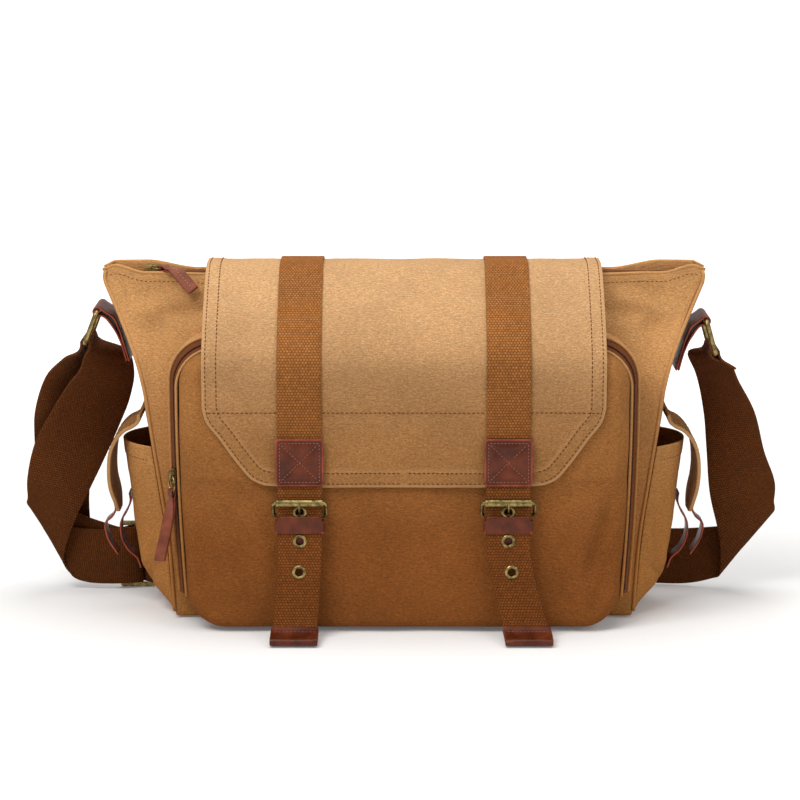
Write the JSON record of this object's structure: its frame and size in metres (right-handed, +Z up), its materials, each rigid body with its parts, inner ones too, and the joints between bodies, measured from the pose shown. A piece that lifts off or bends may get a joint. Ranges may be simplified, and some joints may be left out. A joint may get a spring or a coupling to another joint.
{
  "type": "messenger bag",
  "caption": "Canvas messenger bag with a buckled flap, zipped body and front pocket, side pockets and a webbing shoulder strap",
  "frame": {"origin": "middle of the underside, on the floor", "axes": "+Z up, front towards -Y, +X on the right of the front view"},
  "size_m": [0.6498, 0.2049, 0.2987],
  "materials": {
    "canvas": "tan washed canvas",
    "flap_canvas": "light tan washed canvas",
    "webbing": "brown cotton webbing",
    "shoulder_webbing": "dark brown webbing",
    "zip_tape": "brown woven tape",
    "leather": "red-brown, waxed",
    "brass": "antique"
  },
  "bodies": {
    "bag": {"front_panel": "canvas", "back_panel": "canvas", "bottom_panel": "canvas", "left_gusset": "canvas", "right_gusset": "canvas", "top_zip_front_tape": "zip_tape", "top_zip_back_tape": "zip_tape", "pocket_front_panel": "canvas", "pocket_gusset": "canvas", "pocket_zip_rear_tape": "zip_tape", "pocket_zip_front_tape": "zip_tape", "left_side_pocket": "canvas", "right_side_pocket": "canvas", "left_side_pocket_loop": "leather", "right_side_pocket_loop": "leather", "left_ring_tab": "leather", "right_ring_tab": "leather", "left_snap_socket": "brass", "right_snap_socket": "brass", "shoulder_strap": "shoulder_webbing", "strap_adjuster": "brass"},
    "flap_body": {"flap": "flap_canvas", "left_strap": "webbing", "left_patch": "leather", "left_buckle_frame": "brass", "left_keeper": "leather", "left_buckle_tab": "leather", "left_snap_cap": "brass", "left_eyelet_1": "brass", "left_eyelet_2": "brass", "left_eyelet_3": "brass", "left_strap_tip": "leather", "right_strap": "webbing", "right_patch": "leather", "right_buckle_frame": "brass", "right_keeper": "leather", "right_buckle_tab": "leather", "right_snap_cap": "brass", "right_eyelet_1": "brass", "right_eyelet_2": "brass", "right_eyelet_3": "brass", "right_strap_tip": "leather"},
    "left_roller_body": {"left_roller": "brass"},
    "right_roller_body": {"right_roller": "brass"},
    "left_prong_body": {"left_prong": "brass"},
    "right_prong_body": {"right_prong": "brass"},
    "top_slider_body": {"top_zip_slider": "brass"},
    "top_pull_body": {"top_zip_ring": "brass", "top_zip_pull": "leather"},
    "pocket_slider_body": {"pocket_zip_slider": "brass"},
    "pocket_pull_body": {"pocket_zip_ring": "brass", "pocket_zip_pull": "leather"},
    "left_side_flap_body": {"left_side_flap": "flap_canvas", "left_side_flap_strap": "leather"},
    "right_side_flap_body": {"right_side_flap": "flap_canvas", "right_side_flap_strap": "leather"},
    "left_ring_body": {"left_ring": "brass"},
    "right_ring_body": {"right_ring": "brass"}
  },
  "joints": [
    {"name": "flap_hinge", "type": "hinge", "parent": "bag", "child": "flap_body", "pos_m": [0, 0.0257, 0.271], "axis": [-1, 0, 0], "range_deg": [0, 120]},
    {"name": "left_roller_spin", "type": "hinge", "parent": "flap_body", "child": "left_roller_body", "pos_m": [-0.085, -0.1099, 0.113], "axis": [1, 0, 0], "continuous": true},
    {"name": "right_roller_spin", "type": "hinge", "parent": "flap_body", "child": "right_roller_body", "pos_m": [0.085, -0.1099, 0.113], "axis": [1, 0, 0], "continuous": true},
    {"name": "left_prong_swing", "type": "hinge", "parent": "flap_body", "child": "left_prong_body", "pos_m": [-0.085, -0.1022, 0.101], "axis": [1, 0, 0], "range_deg": [0, 12]},
    {"name": "right_prong_swing", "type": "hinge", "parent": "flap_body", "child": "right_prong_body", "pos_m": [0.085, -0.1022, 0.101], "axis": [1, 0, 0], "range_deg": [0, 12]},
    {"name": "top_zip_slide", "type": "slide", "parent": "bag", "child": "top_slider_body", "axis": [1, 0, 0], "range_m": [0, 0.4]},
    {"name": "top_pull_swing", "type": "hinge", "parent": "top_slider_body", "child": "top_pull_body", "pos_m": [-0.212, 0, 0.29], "axis": [0, -1, 0], "range_deg": [0, 90]},
    {"name": "pocket_zip_slide", "type": "slide", "parent": "bag", "child": "pocket_slider_body", "axis": [-0.0128, 0, 0.9999], "range_m": [0, 0.066]},
    {"name": "pocket_pull_swing", "type": "hinge", "parent": "pocket_slider_body", "child": "pocket_pull_body", "pos_m": [-0.19146, -0.07624, 0.128], "axis": [-0.4122, 0.9111, 0], "range_deg": [0, 90]},
    {"name": "left_side_flap_hinge", "type": "hinge", "parent": "bag", "child": "left_side_flap_body", "pos_m": [-0.22198, 0, 0.17], "axis": [0, 1, 0], "range_deg": [0, 25]},
    {"name": "right_side_flap_hinge", "type": "hinge", "parent": "bag", "child": "right_side_flap_body", "pos_m": [0.22198, 0, 0.17], "axis": [0, -1, 0], "range_deg": [0, 25]},
    {"name": "left_ring_swing", "type": "hinge", "parent": "bag", "child": "left_ring_body", "pos_m": [-0.256, 0, 0.256], "axis": [0, 1, 0], "range_deg": [-15, 15], "deforming": ["shoulder_strap"]},
    {"name": "right_ring_swing", "type": "hinge", "parent": "bag", "child": "right_ring_body", "pos_m": [0.252, 0, 0.248], "axis": [0, -1, 0], "range_deg": [-15, 15]}
  ]
}
